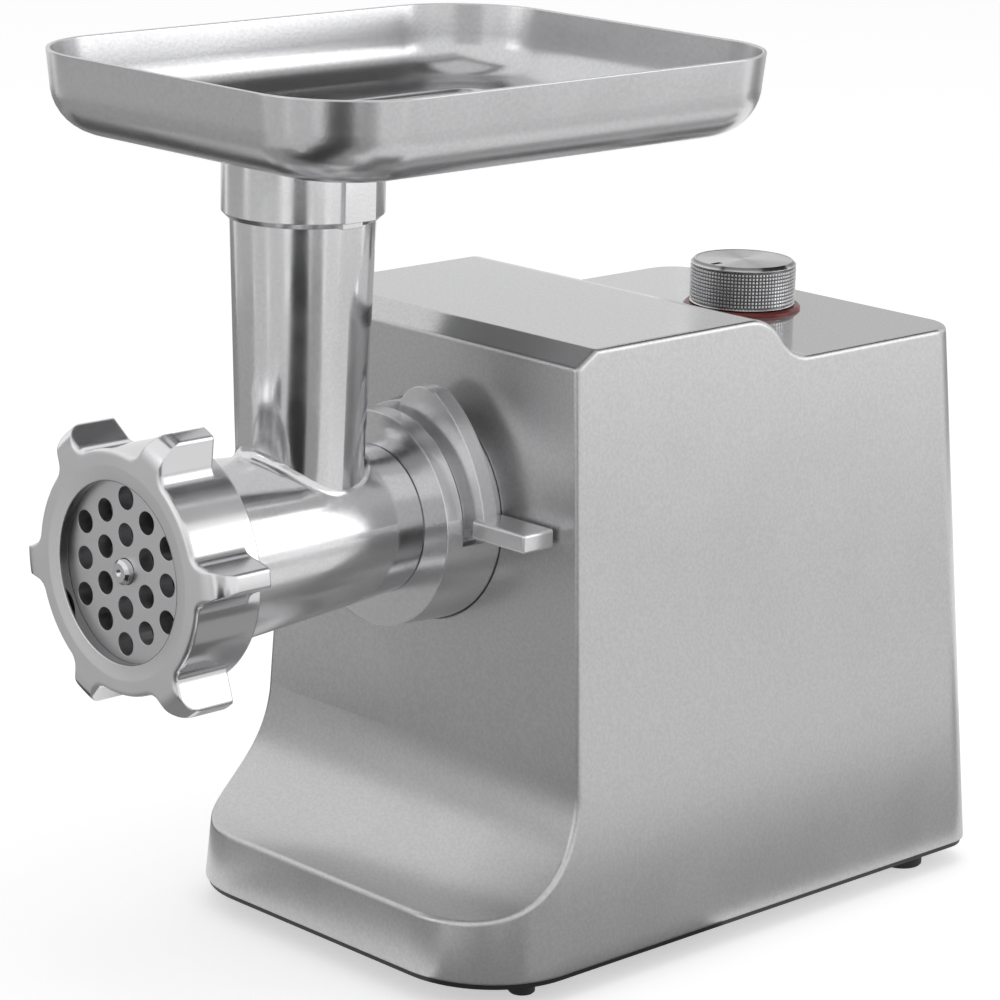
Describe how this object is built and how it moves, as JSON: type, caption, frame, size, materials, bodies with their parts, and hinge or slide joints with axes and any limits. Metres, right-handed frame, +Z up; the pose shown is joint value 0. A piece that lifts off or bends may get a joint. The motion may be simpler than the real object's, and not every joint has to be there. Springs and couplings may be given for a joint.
{
  "type": "electric meat grinder",
  "caption": "Tabletop electric meat grinder with a tapered metal housing, feed tray on an upright tube, lobed nut over a cutting plate, locking lever and speed knob.",
  "frame": {"origin": "on the table, at the middle of the overall box", "axes": "+Z up, the grinding head points to -Y, +X to the right seen from the front"},
  "size_m": [0.16, 0.328, 0.2984],
  "materials": {
    "shell": "fine-grained silver satin",
    "black_plastic": "moulded matt black",
    "black_rubber": "matt black",
    "cast_aluminium": "polished casting",
    "socket_metal": "satin casting",
    "tray_metal": "polished sheet",
    "cutter_steel": "ground steel",
    "knob_metal": "knurled and turned",
    "red_plastic": "dark red gloss",
    "bright_steel": "bright",
    "gear_steel": "oiled steel",
    "gear_plastic": "natural nylon",
    "gearbox_metal": "die-cast",
    "bush_bronze": "sintered bronze",
    "core_steel": "stacked sheet steel",
    "copper": "enamelled copper",
    "carbon": "pressed carbon",
    "fan_plastic": "moulded dark grey"
  },
  "bodies": {
    "housing": {"housing_shell": "shell", "base_plate": "black_plastic", "rotary_switch": "black_plastic", "power_inlet": "black_plastic", "front_feet": "black_rubber", "rear_feet": "black_rubber", "head_socket": "socket_metal", "knob_ring": "red_plastic", "base_screws": "bright_steel", "socket_screws": "bright_steel", "inlet_screws": "bright_steel", "gearbox_screws": "bright_steel", "motor_bolts": "bright_steel", "first_gear_pin": "bright_steel", "second_gear_pin": "bright_steel", "motor_front_bearing": "bright_steel", "motor_rear_bearing": "bright_steel", "gearbox_case": "gearbox_metal", "gearbox_cover": "gearbox_metal", "motor_front_bracket": "gearbox_metal", "motor_rear_bracket": "gearbox_metal", "output_front_bush": "bush_bronze", "output_rear_bush": "bush_bronze", "brush_holders": "bush_bronze", "motor_stator": "core_steel", "field_coils": "copper", "carbon_brushes": "carbon"},
    "lever": {"lock_lever": "socket_metal"},
    "knob": {"control_knob": "knob_metal", "switch_spindle": "bright_steel"},
    "rotor": {"rotor_shaft": "bright_steel", "armature_core": "core_steel", "armature_windings": "copper", "commutator": "copper", "cooling_fan": "fan_plastic"},
    "first_wheel": {"first_gear": "gear_plastic"},
    "second_wheel": {"second_gear": "gear_steel"},
    "output": {"output_gear": "gear_steel"},
    "head": {"grinder_head": "cast_aluminium", "head_bush": "bush_bronze"},
    "auger_set": {"auger": "cast_aluminium", "cutting_knife": "cutter_steel"},
    "plate": {"cutting_plate": "cutter_steel"},
    "nut": {"ring_nut": "cast_aluminium"},
    "tray": {"feed_tray": "tray_metal"}
  },
  "joints": [
    {"name": "knob_turn", "type": "hinge", "parent": "housing", "child": "knob", "pos_m": [0, 0.1142, 0.2], "axis": [0, 0, 1], "range_deg": [-90, 90]},
    {"name": "lever_turn", "type": "hinge", "parent": "housing", "child": "lever", "pos_m": [0, -0.046, 0.1465], "axis": [0, -1, 0], "range_deg": [0, 60]},
    {"name": "rotor_spin", "type": "hinge", "parent": "housing", "child": "rotor", "pos_m": [0, 0.06, 0.064], "axis": [0, -1, 0], "continuous": true},
    {"name": "first_gear_spin", "type": "hinge", "parent": "housing", "child": "first_wheel", "pos_m": [-0.01807, 0, 0.08795], "axis": [0, -1, 0], "continuous": true},
    {"name": "second_gear_spin", "type": "hinge", "parent": "housing", "child": "second_wheel", "pos_m": [0.01302, -0.01, 0.10108], "axis": [0, -1, 0], "continuous": true},
    {"name": "output_spin", "type": "hinge", "parent": "housing", "child": "output", "pos_m": [0, -0.01, 0.1465], "axis": [0, -1, 0], "continuous": true},
    {"name": "head_pull", "type": "slide", "parent": "housing", "child": "head", "axis": [0, -1, 0], "range_m": [0, 0.12]},
    {"name": "auger_spin", "type": "hinge", "parent": "head", "child": "auger_set", "pos_m": [0, -0.09, 0.1465], "axis": [0, -1, 0], "continuous": true},
    {"name": "plate_slide", "type": "slide", "parent": "head", "child": "plate", "axis": [0, -1, 0], "range_m": [0, 0.0182]},
    {"name": "nut_turn", "type": "hinge", "parent": "plate", "child": "nut", "pos_m": [0, -0.15, 0.1465], "axis": [0, -1, 0], "range_deg": [0, 2160]},
    {"name": "tray_lift", "type": "slide", "parent": "head", "child": "tray", "axis": [0, 0, 1], "range_m": [0, 0.05]}
  ],
  "couplings": [
    {"joint": "first_gear_spin", "follows": "rotor_spin", "ratio": -0.25},
    {"joint": "second_gear_spin", "follows": "rotor_spin", "ratio": 0.071429},
    {"joint": "output_spin", "follows": "rotor_spin", "ratio": -0.020408},
    {"joint": "auger_spin", "follows": "rotor_spin", "ratio": -0.020408},
    {"joint": "plate_slide", "follows": "nut_turn", "m_per_rad": 0.00047746}
  ]
}
